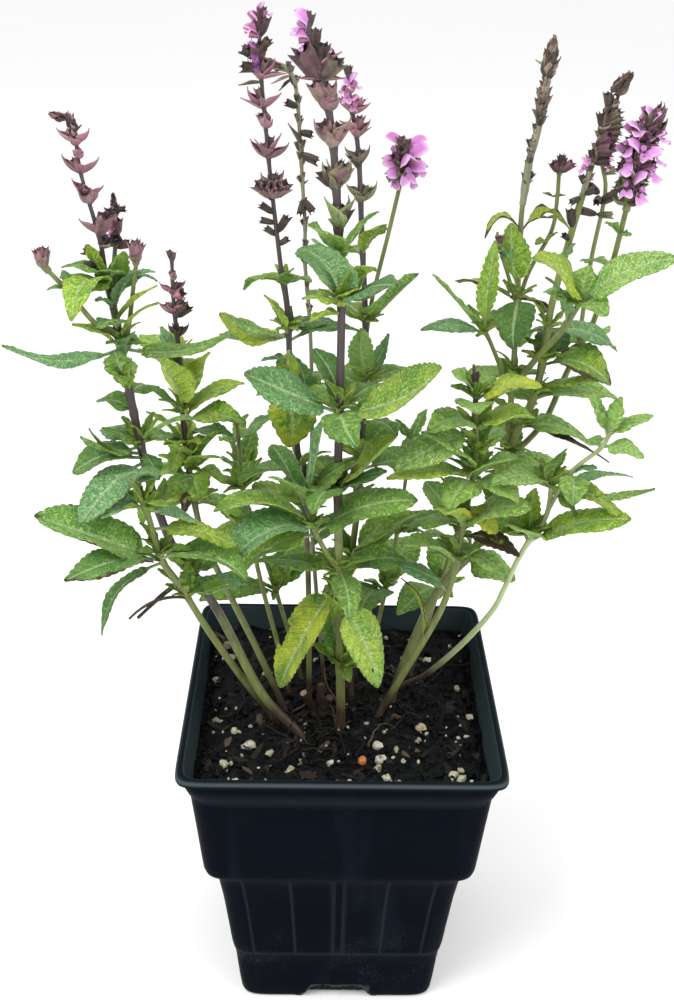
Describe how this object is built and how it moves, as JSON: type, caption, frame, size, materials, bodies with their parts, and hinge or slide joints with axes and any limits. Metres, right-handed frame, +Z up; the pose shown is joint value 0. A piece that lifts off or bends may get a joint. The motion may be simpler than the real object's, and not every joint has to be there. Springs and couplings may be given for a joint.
{
  "type": "potted meadow sage",
  "caption": "Square black nursery pot of soil with a clump of meadow sage: leafy stems, mauve flower spikes, pink blooms and dry spent spikes.",
  "frame": {"origin": "middle of the pot's base, on the surface that it stands on", "axes": "+Z up, +X to the right and -Y to the front as pictured"},
  "size_m": [0.2059, 0.1267, 0.3637],
  "materials": {
    "pot": "satin black plastic with fine scuffs",
    "soil": "damp peat and bark with cream perlite",
    "crown": "dull woody bark",
    "leaf": "soft matt green, finely wrinkled",
    "bract": "dull mauve and plum",
    "dry": "dry brown",
    "bloom": "satin pink petals"
  },
  "bodies": {
    "root": {"pot": "pot", "potting_soil": "soil", "crown": "crown", "front_stem": "leaf", "rear_stem": "leaf", "left_centre_stem": "leaf", "left_stem": "leaf", "left_low_stem": "leaf", "left_back_stem": "leaf", "middle_left_stem": "leaf", "right_stem": "leaf", "right_inner_stem": "leaf", "right_low_stem": "leaf", "back_left_stem": "leaf", "back_middle_stem": "leaf", "back_right_stem": "leaf", "front_spike": "bract", "rear_spike": "bract", "left_centre_spike": "bract", "left_spike": "bract", "left_small_spike": "bract", "left_back_spike": "bract", "left_bud": "bract", "middle_bud": "bract", "right_bud": "bract", "right_left_bud": "bract", "right_inner_bud": "bract", "right_tall_spike": "dry", "right_spent_spike": "dry", "right_faded_spike": "dry", "spent_stem": "dry", "centre_bloom": "bloom", "right_bloom": "bloom"}
  },
  "joints": []
}
